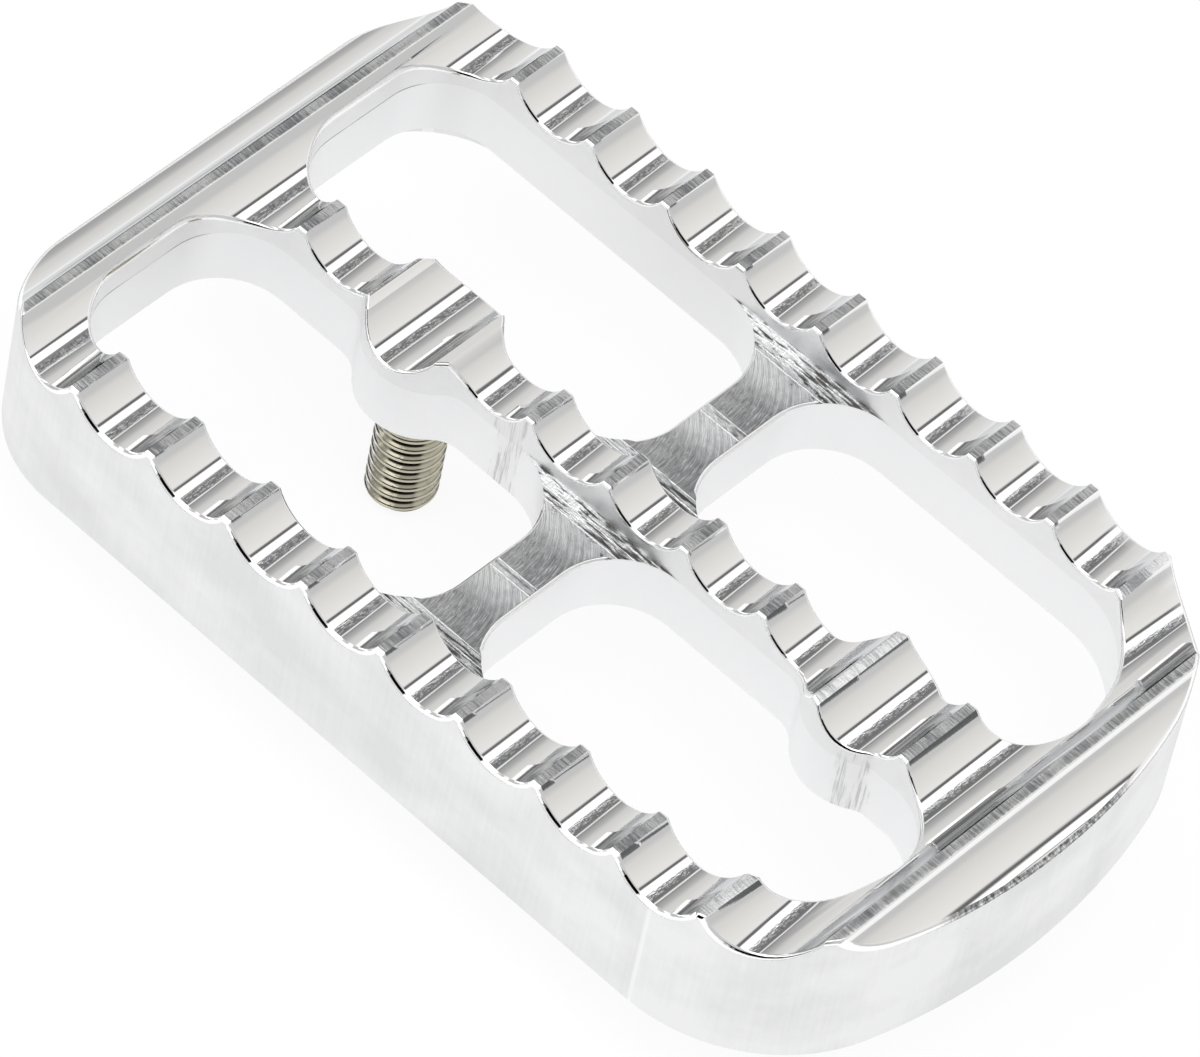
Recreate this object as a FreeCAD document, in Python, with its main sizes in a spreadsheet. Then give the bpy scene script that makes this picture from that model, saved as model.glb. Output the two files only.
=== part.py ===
import FreeCAD
import Part

import math
import os

import Sketcher

# Brake pedal cover: a milled aluminium tread plate with one threaded stud below.
# The origin is on the stud's axis, at the recessed face that seats on the pedal.
# X runs towards the rounded end, Z runs up through the tread.

SIZES = [
    ("tooth_pitch", 8.8, "distance between two ridges"),
    ("tooth_count", 11, "ridges across the tread"),
    ("land_width", 0.87, "flat on top of a ridge"),
    ("scallop_depth", 2.43, "ridge top to the bottom of a scallop"),
    ("square_end_margin", 4.84, "first ridge to the square end"),
    ("round_end_margin", 4.9, "last ridge to the rounded end"),
    ("stud_setback", 26.88, "square end to the stud's axis"),
    ("plate_width", 58.4, "across both rails"),
    ("plate_thickness", 9.85, "seat to ridge tops"),
    ("square_corner_radius", 12.5, "outer corners of the square end"),
    ("round_corner_radius", 16.55, "outer corners of the rounded end"),
    ("end_radius", 62.3, "bow of the rounded end"),
    ("rim_width", 6.15, "wall between the outline and the windows"),
    ("skirt_width", 2.0, "thin wall that hangs round the pedal"),
    ("skirt_depth", 5.3, "seat to the skirt's lower edge"),
    ("spine_width", 5.0, "bar along the middle"),
    ("root_width", 8.6, "wider foot of the spine at the rounded end"),
    ("bridge_width", 5.0, "low bar across the middle"),
    ("bridge_drop", 3.8, "ridge tops to the floor of the bridge"),
    ("boss_radius", 5.8, "round bosses on the spine"),
    ("boss_spacing", 50.4, "stud's axis to the second boss"),
    ("boss_blend_radius", 3.1, "fillet between a boss and the spine"),
    ("root_blend_radius", 2.2, "fillet between the second boss and the root"),
    ("window_corner_radius", 6.7, "inner corners of the windows"),
    ("outer_edge_break", 0.4, "chamfer round the tread"),
    ("stud_diameter", 6.35, "outside of the thread"),
    ("stud_reach", 13.9, "seat to the stud's tip"),
    ("stud_engagement", 6.0, "thread held in the boss"),
    ("stud_tip_diameter", 5.0, "flat at the tip"),
    ("stud_tip_length", 1.4, "tapered end of the stud"),
    ("tap_drill", 5.11, "bore of the tapped holes"),
    ("thread_fit", 0.05, "gap round the screwed-in end in its bore"),
    ("mouth_clearance", 0.08, "gap round the thread at a hole's countersunk mouth"),
    ("hole_depth", 6.4, "tapped holes, from the seat"),
]

LENGTH = "(Sizes.square_end_margin + (Sizes.tooth_count - 1) * Sizes.tooth_pitch + Sizes.round_end_margin)"
SCALLOP_RADIUS = "(((Sizes.tooth_pitch - Sizes.land_width) / 2)^2 + Sizes.scallop_depth^2) / (2 * Sizes.scallop_depth)"
# A window's corner runs out on its own walls: the bowed end's and the root's are the shortest
BOWED_WALL = "(Sizes.plate_width / 2 - Sizes.round_corner_radius - Sizes.root_width / 2)"
ROOT_WALL = f"({LENGTH} - Sizes.stud_setback - Sizes.rim_width - Sizes.boss_spacing)"
FULLEST_CORNER = 0.9
WINDOW_CORNER = (
    f"min(Sizes.window_corner_radius; {FULLEST_CORNER} * {BOWED_WALL}; {FULLEST_CORNER} * {ROOT_WALL})"
)
NEAR = 0.001

doc = FreeCAD.newDocument("BrakePedalCover")
sheet = doc.addObject("Spreadsheet::Sheet", "Sizes")
for row, (alias, value, note) in enumerate(SIZES, start=1):
    sheet.set(f"A{row}", alias)
    sheet.set(f"B{row}", str(value))
    sheet.set(f"C{row}", note)
    sheet.setAlias(f"B{row}", alias)
doc.recompute()


def value_of(expression):
    """What an expression on the sheet comes to now."""
    return float(sheet.evalExpression(expression.replace("Sizes.", "")))


def origin_plane(body, role):
    """The named plane of a body's own origin."""
    return next(plane for plane in body.Origin.OriginFeatures if plane.Role == role)


def new_body(label):
    """An empty body whose label names its node."""
    body = doc.addObject("PartDesign::Body", label)
    body.Label = label
    return body


def new_sketch(body, name, role="XY_Plane"):
    """A sketch that lies on one of the body's own origin planes."""
    sketch = body.newObject("Sketcher::SketchObject", name)
    sketch.AttachmentSupport = [(origin_plane(body, role), "")]
    sketch.MapMode = "FlatFace"
    return sketch


def constrain(sketch, name, expression, *definition):
    """Add a dimension to a sketch and bind it to the sheet."""
    index = sketch.addConstraint(Sketcher.Constraint(*definition, value_of(expression)))
    sketch.renameConstraint(index, name)
    sketch.setExpression(f"Constraints.{name}", expression)


def line(x_start, y_start, x_end, y_end):
    """A straight edge for a sketch."""
    return Part.LineSegment(FreeCAD.Vector(x_start, y_start, 0), FreeCAD.Vector(x_end, y_end, 0))


def circle(center_x, center_y, radius):
    """A full circle for a sketch."""
    return Part.Circle(FreeCAD.Vector(center_x, center_y, 0), FreeCAD.Vector(0, 0, 1), radius)


def arc(center_x, center_y, radius, first, last):
    """An arc for a sketch, between two directions in radians."""
    return Part.ArcOfCircle(circle(center_x, center_y, radius), first, last)


def outline_sketch(body, name, wall=None):
    """The plate's outline, or the outline moved in by one of the sheet's wall widths."""
    inset = f" - Sizes.{wall}" if wall else ""
    half_width = f"Sizes.plate_width / 2{inset}"
    setback = f"Sizes.stud_setback{inset}"
    square_radius = f"Sizes.square_corner_radius{inset}"
    round_radius = f"Sizes.round_corner_radius{inset}"
    bow_radius = f"Sizes.end_radius{inset}"
    bow_center = f"{LENGTH} - Sizes.stud_setback - Sizes.end_radius"
    half, left, square, small, large, bow_x = (
        value_of(text) for text in (half_width, f"-({setback})", square_radius, round_radius, bow_radius, bow_center)
    )
    turn = math.asin((half - small) / (large - small))
    corner_x = bow_x + (large - small) * math.cos(turn)
    corner_y = half - small
    quarter = math.pi / 2
    sketch = new_sketch(body, name)
    sketch.addGeometry([
        line(left + square, -half, corner_x, -half),
        arc(corner_x, -corner_y, small, -quarter, -turn),
        arc(bow_x, 0, large, -turn, turn),
        arc(corner_x, corner_y, small, turn, quarter),
        line(corner_x, half, left + square, half),
        arc(left + square, half - square, square, quarter, 2 * quarter),
        line(left, half - square, left, square - half),
        arc(left + square, square - half, square, 2 * quarter, 3 * quarter),
    ], False)
    lower_side, lower_corner, bow, upper_corner, upper_side, upper_square, square_side, lower_square = range(8)
    for edge in range(8):
        sketch.addConstraint(Sketcher.Constraint("Tangent", edge, 2, (edge + 1) % 8, 1))
    sketch.addConstraint([
        Sketcher.Constraint("Horizontal", lower_side),
        Sketcher.Constraint("Horizontal", upper_side),
        Sketcher.Constraint("Vertical", square_side),
        Sketcher.Constraint("Equal", lower_corner, upper_corner),
        Sketcher.Constraint("Equal", lower_square, upper_square),
        Sketcher.Constraint("PointOnObject", bow, 3, -1),
    ])
    constrain(sketch, "upper_half", half_width, "DistanceY", -1, 1, upper_side, 1)
    constrain(sketch, "lower_half", half_width, "DistanceY", lower_side, 1, -1, 1)
    constrain(sketch, "square_end", setback, "DistanceX", square_side, 1, -1, 1)
    constrain(sketch, "square_radius", square_radius, "Radius", upper_square)
    constrain(sketch, "round_radius", round_radius, "Radius", upper_corner)
    constrain(sketch, "bow_radius", bow_radius, "Radius", bow)
    constrain(sketch, "bow_center", bow_center, "DistanceX", -1, 1, bow, 3)
    return sketch


def bar_sketch(body, name, start, end, lower, upper):
    """A rectangle whose four sides stand where four expressions say."""
    left, right, bottom, top = (value_of(text) for text in (start, end, lower, upper))
    sketch = new_sketch(body, name)
    sketch.addGeometry([
        line(left, bottom, right, bottom),
        line(right, bottom, right, top),
        line(right, top, left, top),
        line(left, top, left, bottom),
    ], False)
    for edge in range(4):
        sketch.addConstraint(Sketcher.Constraint("Coincident", edge, 2, (edge + 1) % 4, 1))
    sketch.addConstraint([
        Sketcher.Constraint("Horizontal", 0),
        Sketcher.Constraint("Vertical", 1),
        Sketcher.Constraint("Horizontal", 2),
        Sketcher.Constraint("Vertical", 3),
    ])
    constrain(sketch, "start", start, "DistanceX", -1, 1, 3, 1)
    constrain(sketch, "end", end, "DistanceX", -1, 1, 1, 1)
    constrain(sketch, "lower", lower, "DistanceY", -1, 1, 0, 1)
    constrain(sketch, "upper", upper, "DistanceY", -1, 1, 2, 1)
    return sketch


def boss_sketch(body, name, radius):
    """Two equal circles, on the stud's axis and at the second boss."""
    spacing, size = value_of("Sizes.boss_spacing"), value_of(radius)
    sketch = new_sketch(body, name)
    sketch.addGeometry([circle(0, 0, size), circle(spacing, 0, size)], False)
    sketch.addConstraint([
        Sketcher.Constraint("Coincident", 0, 3, -1, 1),
        Sketcher.Constraint("PointOnObject", 1, 3, -1),
        Sketcher.Constraint("Equal", 0, 1),
    ])
    constrain(sketch, "radius", radius, "Radius", 0)
    constrain(sketch, "spacing", "Sizes.boss_spacing", "DistanceX", -1, 1, 1, 3)
    return sketch


def add_pad(body, name, sketch, height):
    """Pad a sketch up from the seat."""
    pad = body.newObject("PartDesign::Pad", name)
    pad.Profile = sketch
    pad.setExpression("Length", height)
    return pad


def add_pocket(body, name, sketch, depth=None, upwards=False):
    """Cut a sketch from the seat to a depth, or right through both ways."""
    pocket = body.newObject("PartDesign::Pocket", name)
    pocket.Profile = sketch
    pocket.Reversed = upwards
    if depth:
        pocket.setExpression("Length", depth)
    else:
        pocket.SideType = "Symmetric"
        pocket.Type = "ThroughAll"
    return pocket


def faces_beside(shape, edge):
    """The two faces at an edge, each with its outward direction at the edge's middle."""
    middle = edge.valueAt((edge.FirstParameter + edge.LastParameter) / 2)
    sides = []
    for face in shape.ancestorsOfType(edge, Part.Face):
        sides.append((face, face.normalAt(*face.Surface.parameter(middle))))
    return middle, sides


def upright_corners(shape, wanted):
    """Names of the sharp upright edges whose distances from the two boss axes are wanted."""
    names = []
    for number, edge in enumerate(shape.Edges, start=1):
        if not isinstance(edge.Curve, Part.Line) or abs(edge.Curve.Direction.z) < 1 - NEAR:
            continue
        middle, sides = faces_beside(shape, edge)
        if len(sides) == 2 and sides[0][1].getAngle(sides[1][1]) > NEAR and wanted(middle):
            names.append(f"Edge{number}")
    return names


def outer_rim(shape):
    """Names of the edges where the tread meets the plate's outside wall."""
    names = []
    for number, edge in enumerate(shape.Edges, start=1):
        middle, sides = faces_beside(shape, edge)
        walls = [face for face, normal in sides if abs(normal.z) < NEAR]
        tops = [face for face, normal in sides if normal.z > NEAR]
        if len(walls) == 1 and len(tops) == 1 and walls[0].BoundBox.ZMin < -NEAR:
            names.append(f"Edge{number}")
    return names


def hole_mouths(shape):
    """Names of the circles where the tapped holes open at the seat."""
    bore = value_of("Sizes.tap_drill / 2")
    names = []
    for number, edge in enumerate(shape.Edges, start=1):
        if isinstance(edge.Curve, Part.Circle) and abs(edge.Curve.Radius - bore) < NEAR:
            if abs(edge.Curve.Center.z) < NEAR:
                names.append(f"Edge{number}")
    return names


def add_edge_feature(body, kind, name, edges, dimension, expression):
    """A fillet or a chamfer on named edges of the body's last feature."""
    base = body.Tip
    feature = body.newObject(f"PartDesign::{kind}", name)
    feature.Base = (base, edges)
    feature.setExpression(dimension, expression)
    doc.recompute()
    return feature


def on_boss(middle, place):
    """Whether an upright edge stands on the boss at a place along X."""
    return abs(math.hypot(middle.x - place, middle.y) - value_of("Sizes.boss_radius")) < NEAR


def build_cover():
    """The one-piece tread plate with its windows, bosses, skirt and scallops."""
    body = new_body("pedal_cover")
    square_end = "-Sizes.stud_setback"
    round_end = f"{LENGTH} - Sizes.stud_setback"
    middle = f"{LENGTH} / 2 - Sizes.stud_setback"
    top = "Sizes.plate_thickness"

    # The blank, and the opening inside its rim
    blank = add_pad(body, "Blank", outline_sketch(body, "BlankOutline"), top)
    blank.SideType = "Two sides"
    blank.setExpression("Length2", "Sizes.skirt_depth")
    add_pocket(body, "RimOpening", outline_sketch(body, "RimOutline", "rim_width"))

    # Spine, root, bridge and bosses divide the opening into four windows
    in_rim = "Sizes.rim_width / 2"
    spine = bar_sketch(
        body, "SpineBar", f"{square_end} + {in_rim}", f"{round_end} - {in_rim}",
        "-Sizes.spine_width / 2", "Sizes.spine_width / 2",
    )
    add_pad(body, "Spine", spine, top)
    root = bar_sketch(
        body, "RootBar", "Sizes.boss_spacing", f"{round_end} - {in_rim}",
        "-Sizes.root_width / 2", "Sizes.root_width / 2",
    )
    add_pad(body, "Root", root, top)
    bridge = bar_sketch(
        body, "BridgeBar", f"{middle} - Sizes.bridge_width / 2", f"{middle} + Sizes.bridge_width / 2",
        f"-Sizes.plate_width / 2 + {in_rim}", f"Sizes.plate_width / 2 - {in_rim}",
    )
    add_pad(body, "Bridge", bridge, f"{top} - Sizes.bridge_drop")
    doc.recompute()

    # Milled corners of the windows, then the bosses and their blends
    second = value_of("Sizes.boss_spacing")
    corners = upright_corners(body.Shape, lambda at: abs(at.x - second) > NEAR)
    add_edge_feature(body, "Fillet", "WindowCorners", corners, "Radius", WINDOW_CORNER)
    add_pad(body, "Bosses", boss_sketch(body, "BossCircles", "Sizes.boss_radius"), top)
    doc.recompute()
    spine_side = upright_corners(body.Shape, lambda at: on_boss(at, 0) or on_boss(at, second) and at.x < second)
    add_edge_feature(body, "Fillet", "BossBlends", spine_side, "Radius", "Sizes.boss_blend_radius")
    root_side = upright_corners(body.Shape, lambda at: on_boss(at, second))
    add_edge_feature(body, "Fillet", "RootBlends", root_side, "Radius", "Sizes.root_blend_radius")

    # The recess that the pedal sits in, and the two tapped holes above it
    add_pocket(body, "Recess", outline_sketch(body, "RecessOutline", "skirt_width"), "Sizes.skirt_depth")
    holes = boss_sketch(body, "HoleCircles", "Sizes.tap_drill / 2")
    add_pocket(body, "TappedHoles", holes, "Sizes.hole_depth", upwards=True)
    doc.recompute()
    mouth = "Sizes.stud_diameter / 2 - Sizes.tap_drill / 2 + Sizes.mouth_clearance"
    add_edge_feature(body, "Chamfer", "HoleMouths", hole_mouths(body.Shape), "Size", mouth)

    # The scallops, one cutter pass repeated at the tooth pitch
    first_x = "Sizes.stud_setback - Sizes.square_end_margin + Sizes.tooth_pitch / 2"
    cutter_height = f"{top} - Sizes.scallop_depth + {SCALLOP_RADIUS}"
    pass_sketch = new_sketch(body, "CutterCircle", "XZ_Plane")
    pass_sketch.addGeometry(circle(-value_of(first_x), value_of(cutter_height), value_of(SCALLOP_RADIUS)), False)
    constrain(pass_sketch, "radius", SCALLOP_RADIUS, "Radius", 0)
    constrain(pass_sketch, "setback", first_x, "DistanceX", 0, 3, -1, 1)
    constrain(pass_sketch, "height", cutter_height, "DistanceY", -1, 1, 0, 3)
    cutter_pass = add_pocket(body, "CutterPass", pass_sketch)
    scallops = body.newObject("PartDesign::LinearPattern", "Scallops")
    scallops.Originals = [cutter_pass]
    scallops.Direction = (pass_sketch, ["H_Axis"])
    scallops.Mode = "Spacing"
    scallops.setExpression("Offset", "Sizes.tooth_pitch")
    scallops.setExpression("Occurrences", "Sizes.tooth_count + 1")
    body.Tip = scallops
    doc.recompute()

    # The edge broken all round the tread
    add_edge_feature(body, "Chamfer", "OuterEdge", outer_rim(body.Shape), "Size", "Sizes.outer_edge_break")
    return body


def build_stud():
    """The stud, plain at the thread's outside below the seat and at its root where it is screwed in."""
    body = new_body("mounting_stud")
    shank = "Sizes.stud_diameter / 2"
    root = "Sizes.tap_drill / 2 - Sizes.thread_fit"
    tip = "Sizes.stud_tip_diameter / 2"
    shank_end = "Sizes.stud_reach - Sizes.stud_tip_length"
    radius, root_radius, tip_radius, top, reach, taper = (
        value_of(text) for text in (shank, root, tip, "Sizes.stud_engagement", "Sizes.stud_reach", shank_end)
    )
    sketch = new_sketch(body, "StudProfile", "XZ_Plane")
    sketch.addGeometry([
        line(0, -reach, tip_radius, -reach),
        line(tip_radius, -reach, radius, -taper),
        line(radius, -taper, radius, 0),
        line(radius, 0, root_radius, 0),
        line(root_radius, 0, root_radius, top),
        line(root_radius, top, 0, top),
        line(0, top, 0, -reach),
    ], False)
    end_face, taper_side, shank_side, shoulder, root_side, top_face, axis = range(7)
    for edge in range(7):
        sketch.addConstraint(Sketcher.Constraint("Coincident", edge, 2, (edge + 1) % 7, 1))
    sketch.addConstraint([
        Sketcher.Constraint("Horizontal", end_face),
        Sketcher.Constraint("Vertical", shank_side),
        Sketcher.Constraint("Horizontal", shoulder),
        Sketcher.Constraint("PointOnObject", shoulder, 1, -1),
        Sketcher.Constraint("Vertical", root_side),
        Sketcher.Constraint("Horizontal", top_face),
        Sketcher.Constraint("PointOnObject", axis, 1, -2),
        Sketcher.Constraint("PointOnObject", axis, 2, -2),
    ])
    constrain(sketch, "shank_radius", shank, "DistanceX", -1, 1, shank_side, 1)
    constrain(sketch, "root_radius", root, "DistanceX", -1, 1, root_side, 1)
    constrain(sketch, "tip_radius", tip, "DistanceX", -1, 1, end_face, 2)
    constrain(sketch, "engagement", "Sizes.stud_engagement", "DistanceY", -1, 1, top_face, 1)
    constrain(sketch, "reach", "Sizes.stud_reach", "DistanceY", end_face, 1, -1, 1)
    constrain(sketch, "shank_end", shank_end, "DistanceY", taper_side, 2, -1, 1)
    turned = body.newObject("PartDesign::Revolution", "Turned")
    turned.Profile = sketch
    turned.ReferenceAxis = (sketch, ["V_Axis"])
    turned.Angle = 360
    return body


bodies = [build_cover(), build_stud()]
doc.recompute()
for item in doc.Objects:
    if "Invalid" in item.State or "Error" in item.State:
        raise RuntimeError(f"{item.Label} did not build: {item.State}")
os.makedirs("parts", exist_ok=True)
for body in bodies:
    if body.Shape.isNull() or not body.Shape.isValid() or len(body.Shape.Solids) != 1:
        raise RuntimeError(f"{body.Label} is not one valid solid")
    body.Shape.exportStep(f"parts/{body.Label}.step")
    print(f"{body.Label}: {body.Shape.Volume / 1000:.2f} cm3, {len(body.Shape.Faces)} faces")
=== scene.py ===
"""Brake pedal cover: the looks of a milled aluminium tread plate and the plated stud below it.

The shapes are in metres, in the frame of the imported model: the origin is on the stud's axis at the
recessed seat, X runs to the rounded end and Z runs up through the tread. The finishes work in the
same frame, in millimetres.
"""

import logging
import math
from dataclasses import dataclass, field
from enum import Enum
from typing import Any, ClassVar

import bmesh
import bpy
from mathutils import Matrix, Vector
from mathutils.bvhtree import BVHTree

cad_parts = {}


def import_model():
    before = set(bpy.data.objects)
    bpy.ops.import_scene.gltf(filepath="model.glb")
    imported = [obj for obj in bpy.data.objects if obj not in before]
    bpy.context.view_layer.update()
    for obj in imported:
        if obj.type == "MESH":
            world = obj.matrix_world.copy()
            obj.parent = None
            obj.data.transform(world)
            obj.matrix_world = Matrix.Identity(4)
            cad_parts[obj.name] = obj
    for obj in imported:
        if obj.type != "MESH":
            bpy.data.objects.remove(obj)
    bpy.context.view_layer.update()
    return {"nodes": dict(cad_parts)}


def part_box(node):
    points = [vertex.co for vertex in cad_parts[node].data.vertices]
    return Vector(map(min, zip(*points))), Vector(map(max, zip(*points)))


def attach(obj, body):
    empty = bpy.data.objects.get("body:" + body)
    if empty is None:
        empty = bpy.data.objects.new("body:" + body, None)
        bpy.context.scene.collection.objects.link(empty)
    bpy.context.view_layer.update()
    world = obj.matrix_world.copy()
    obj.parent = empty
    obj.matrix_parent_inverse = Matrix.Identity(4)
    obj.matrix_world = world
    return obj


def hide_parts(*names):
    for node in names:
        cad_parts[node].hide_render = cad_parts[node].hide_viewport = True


MM = 0.001
IN_DEGREES = 180 / math.pi

# Sizes in millimetres that the shapes and the finishes share
BOW_RADIUS = 62.3
SECOND_BOSS_X = 50.4
THREAD_PITCH = 1.27
THREAD_RADIUS = 3.175
THREAD_ROOT_RADIUS = 2.50

# The Z of an upright face's normal is below this, and that of a level face is this near to 1
NEAR_UPRIGHT = 0.02

# Colour is RGBA, Step is where a smooth step starts and ends, Band is low, high and softness, and
# Stops are places with their colours, in order
Colour = tuple[float, float, float, float]
Step = tuple[float, float]
Band = tuple[float, float, float]
Stops = tuple[tuple[float, Colour], ...]

logging.basicConfig(level=logging.INFO, format="%(levelname)s %(message)s")
log = logging.getLogger("pedal_cover")


def grey(level: float, warmth: float = 0.0) -> Colour:
    """A grey, warmed towards cream by a small amount."""
    return (level * (1 + warmth), level, level * (1 - 2 * warmth), 1.0)


class Socket:
    """An output of a shader node, on which Python's operators add Math nodes."""

    def __init__(self, graph: "Graph", output: bpy.types.NodeSocket) -> None:
        """Keep the output and the graph that it belongs to."""
        self.graph = graph
        self.output = output

    def _maths(self, operation: str, *values: "float | Socket") -> "Socket":
        """Add one Math node on the given values."""
        return self.graph.add("ShaderNodeMath", {"operation": operation}, *values)

    def __add__(self, other: "float | Socket") -> "Socket":
        """self + other."""
        return self._maths("ADD", self, other)

    __radd__ = __add__

    def __sub__(self, other: "float | Socket") -> "Socket":
        """self - other."""
        return self._maths("SUBTRACT", self, other)

    def __rsub__(self, other: float) -> "Socket":
        """other - self."""
        return self._maths("SUBTRACT", other, self)

    def __mul__(self, other: "float | Socket") -> "Socket":
        """self * other."""
        return self._maths("MULTIPLY", self, other)

    __rmul__ = __mul__

    def __truediv__(self, other: "float | Socket") -> "Socket":
        """self / other."""
        return self._maths("DIVIDE", self, other)

    def __pow__(self, other: float) -> "Socket":
        """self ** other."""
        return self._maths("POWER", self, other)

    def __abs__(self) -> "Socket":
        """abs(self)."""
        return self._maths("ABSOLUTE", self)

    def fraction(self) -> "Socket":
        """The part after the point, from 0 to 1."""
        return self._maths("FRACT", self)

    def root(self) -> "Socket":
        """Its square root."""
        return self._maths("SQRT", self)

    def at_least(self, other: "float | Socket") -> "Socket":
        """The larger of the two."""
        return self._maths("MAXIMUM", self, other)

    def at_most(self, other: "float | Socket") -> "Socket":
        """The smaller of the two."""
        return self._maths("MINIMUM", self, other)

    def angle_from(self, other: "Socket") -> "Socket":
        """The angle whose tangent is self / other."""
        return self._maths("ARCTAN2", self, other)

    def rise(self, start: float, end: float) -> "Socket":
        """A smooth step from 0 at start to 1 at end; start may be the larger."""
        settings = {"interpolation_type": "SMOOTHSTEP"}
        return self.graph.add("ShaderNodeMapRange", settings, self, start, end, 0.0, 1.0)

    def within(self, low: float, high: float, soft: float) -> "Socket":
        """1 between low and high and 0 outside, with soft edges."""
        return self.rise(low - soft, low + soft) * self.rise(high + soft, high - soft)


class Graph:
    """The nodes of one material or world."""

    def __init__(self, owner: bpy.types.Material | bpy.types.World) -> None:
        """Start with an empty tree.

        Args:
            owner: The material or world that the nodes are for.
        """
        owner.use_nodes = True
        self.tree = owner.node_tree
        self.tree.nodes.clear()

    def add(
        self, kind: str, settings: dict[str, Any], *values: Any, out: int | str = 0, **named: Any
    ) -> Socket:
        """Add a node.

        Args:
            kind: The node's type name.
            settings: Properties that are set first; "stops" holds a colour ramp's stops.
            values: What goes into its inputs, in order; None leaves one as it is.
            out: Which output to return.
            named: What goes into inputs that are given by name, with _ for a space.

        Returns:
            The chosen output.
        """
        node = self.tree.nodes.new(kind)
        for name, value in settings.items():
            if name == "stops":
                self._set_stops(node.color_ramp, value)
            else:
                setattr(node, name, value)
        for index, value in enumerate(values):
            self._feed(node.inputs[index], value)
        for name, value in named.items():
            self._feed(node.inputs[name.replace("_", " ")], value)
        return Socket(self, node.outputs[out])

    def end(self, kind: str, shader: Socket) -> None:
        """Add the output node and give it the shader."""
        self._feed(self.tree.nodes.new(kind).inputs["Surface"], shader)

    def _feed(self, socket: bpy.types.NodeSocket, value: Any) -> None:
        """Link or set one input.

        Args:
            socket: The input.
            value: A link or a plain value, or None to leave the input as it is.
        """
        if isinstance(value, Socket):
            self.tree.links.new(value.output, socket)
        elif value is not None:
            socket.default_value = value

    def _set_stops(self, ramp: bpy.types.ColorRamp, stops: Stops) -> None:
        """Give a new colour ramp its stops.

        Args:
            ramp: The ramp.
            stops: The stops, with places from 0 to 1.
        """
        while len(ramp.elements) < len(stops):
            ramp.elements.new(1.0)
        for element, (place, colour) in zip(ramp.elements, stops):
            element.position = place
            element.color = colour

    def colour(self, first: Any, second: Any, amount: Any) -> Socket:
        """Mix two colours; the node's inputs for numbers and vectors come before those for colours."""
        settings = {"data_type": "RGBA", "clamp_factor": True}
        return self.add("ShaderNodeMix", settings, amount, *[None] * 5, first, second, out=2)

    def parts(self, vector: Socket) -> tuple[Socket, Socket, Socket]:
        """Part a vector into its three numbers."""
        node = self.add("ShaderNodeSeparateXYZ", {}, vector).output.node
        return tuple(Socket(self, output) for output in node.outputs)

    def noise(self, place: tuple[Any, Any, Any], detail: float = 3.0, roughness: float = 0.5) -> Socket:
        """Noise about 0, one cell to a unit of the place.

        Args:
            place: Where to read it, as three numbers or links.
            detail: How many finer layers are added.
            roughness: How strong each finer layer is.

        Returns:
            The noise, from about -1 to 1.
        """
        vector = self.add("ShaderNodeCombineXYZ", {}, *place)
        value = self.add("ShaderNodeTexNoise", {}, vector, Scale=1.0, Detail=detail, Roughness=roughness)
        return (value - 0.5) * 2.0

    def place(self) -> tuple[Socket, Socket, Socket]:
        """Where the surface is, in millimetres of the part's frame."""
        place = self.add("ShaderNodeTexCoord", {}, out="Object")
        return self.parts(self.add("ShaderNodeVectorMath", {"operation": "SCALE"}, place, Scale=1 / MM))

    def facing(self) -> tuple[Socket, Socket, Socket]:
        """The way the surface faces."""
        return self.parts(self.add("ShaderNodeNewGeometry", {}, out="Normal"))

    def light_path(self, ray: str) -> Socket:
        """1 for a ray of the named kind and 0 for the others."""
        return self.add("ShaderNodeLightPath", {}, out=ray)

    def surface(self, height: Socket, **finish: Any) -> None:
        """Finish a metal.

        Args:
            height: The relief, in millimetres about 0.
            finish: Values or links for the shader's own sockets.
        """
        normal = self.add("ShaderNodeBump", {}, Height=height, Distance=MM, Strength=1.0)
        shader = self.add("ShaderNodeBsdfPrincipled", {}, Normal=normal, Metallic=1.0, **finish)
        self.end("ShaderNodeOutputMaterial", shader)


class Finish:
    """A finish of the metal, which makes its own material."""

    material_name: ClassVar[str]

    def make(self) -> bpy.types.Material:
        """Build the material.

        Returns:
            The new material.
        """
        material = bpy.data.materials.new(self.material_name)
        self.lay(Graph(material))
        return material

    def lay(self, graph: Graph) -> None:
        """Add the finish's nodes to a material's empty graph."""
        raise NotImplementedError


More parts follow.
